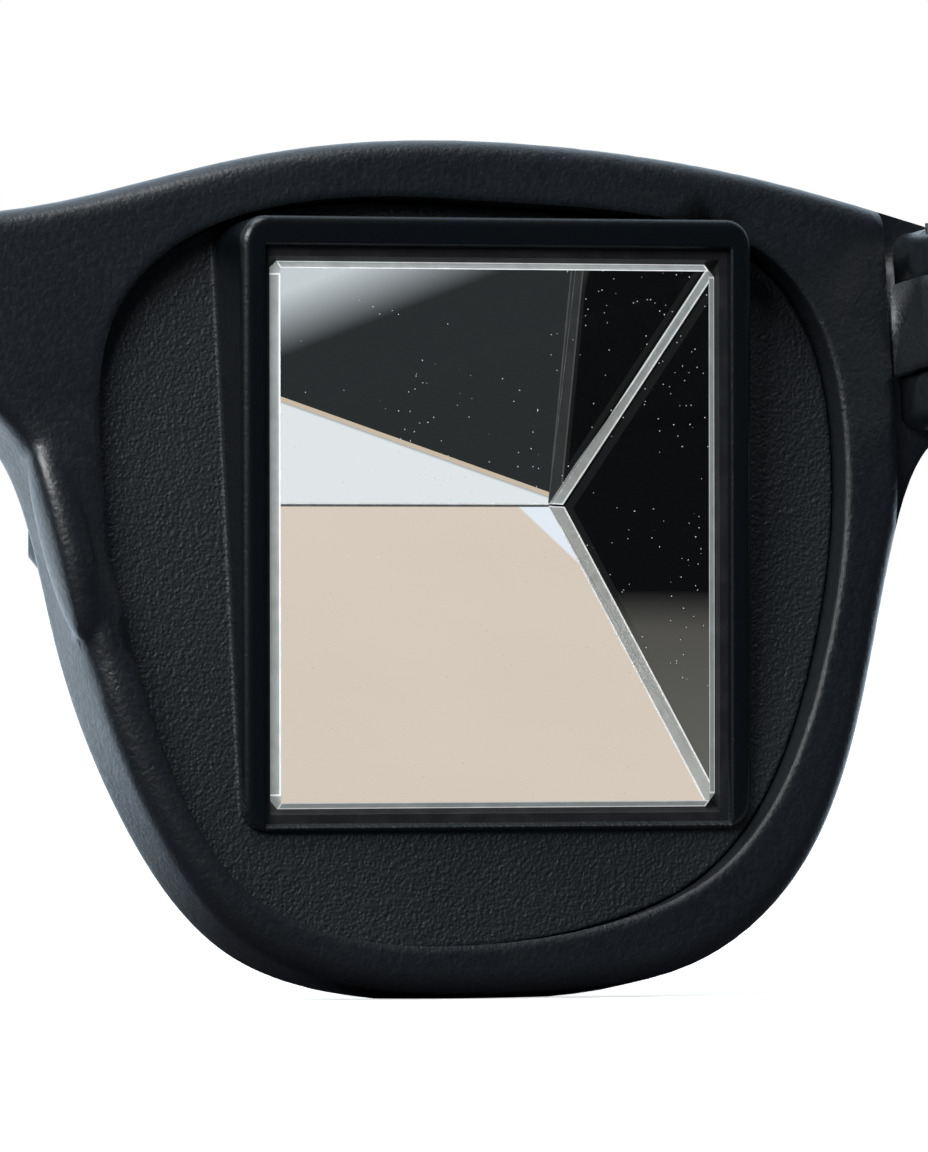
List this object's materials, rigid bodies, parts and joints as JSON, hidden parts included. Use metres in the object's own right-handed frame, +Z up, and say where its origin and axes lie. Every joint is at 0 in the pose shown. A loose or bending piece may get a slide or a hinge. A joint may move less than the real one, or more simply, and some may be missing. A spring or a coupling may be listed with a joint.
{
  "type": "prism bed glasses",
  "caption": "Glasses for reading while lying flat: a black moulded front holds a glass prism in front of each eye that turns the view downwards, and two temples fold on screwed hinges.",
  "frame": {"origin": "on the ground plane under the bridge, where the line down the rear face of the rims at their lowest point crosses the plane of symmetry", "axes": "+Z up, -Y the way the wearer looks, +X to the wearer's left; the front leans forward at its top by 7 degrees and the glasses stand on the feet of their rims and the tips of their temples"},
  "size_m": [0.1522, 0.1946, 0.0578],
  "materials": {
    "frame": "fine-textured black moulded plastic",
    "panel": "black plastic with a pebbled grain",
    "prism": "polished optical glass with ground edges",
    "gasket": "soft black rubber",
    "mirror": "vacuum-coated mirror",
    "mask": "flat black lacquer",
    "hood": "fine-textured black moulded plastic",
    "screws": "small slotted steel screws"
  },
  "bodies": {
    "front": {"front_frame": "frame", "right_eye_panel": "panel", "right_prism": "prism", "right_prism_gasket": "gasket", "right_prism_mirror": "mirror", "right_retaining_pad": "gasket", "right_side_masks": "mask", "right_prism_hood": "hood", "right_hood_screws": "screws", "left_eye_panel": "panel", "left_prism": "prism", "left_prism_gasket": "gasket", "left_prism_mirror": "mirror", "left_retaining_pad": "gasket", "left_side_masks": "mask", "left_prism_hood": "hood", "left_hood_screws": "screws"},
    "right_temple": {"right_temple": "frame", "right_hinge_screw": "screws"},
    "left_temple": {"left_temple": "frame", "left_hinge_screw": "screws"}
  },
  "joints": [
    {"name": "right_temple_fold", "type": "hinge", "parent": "front", "child": "right_temple", "pos_m": [-0.07255, -0.00037, 0.03953], "axis": [0, 0.1219, -0.9925], "range_deg": [0, 88]},
    {"name": "left_temple_fold", "type": "hinge", "parent": "front", "child": "left_temple", "pos_m": [0.07255, -0.00037, 0.03953], "axis": [0, -0.1219, 0.9925], "range_deg": [0, 78]}
  ]
}
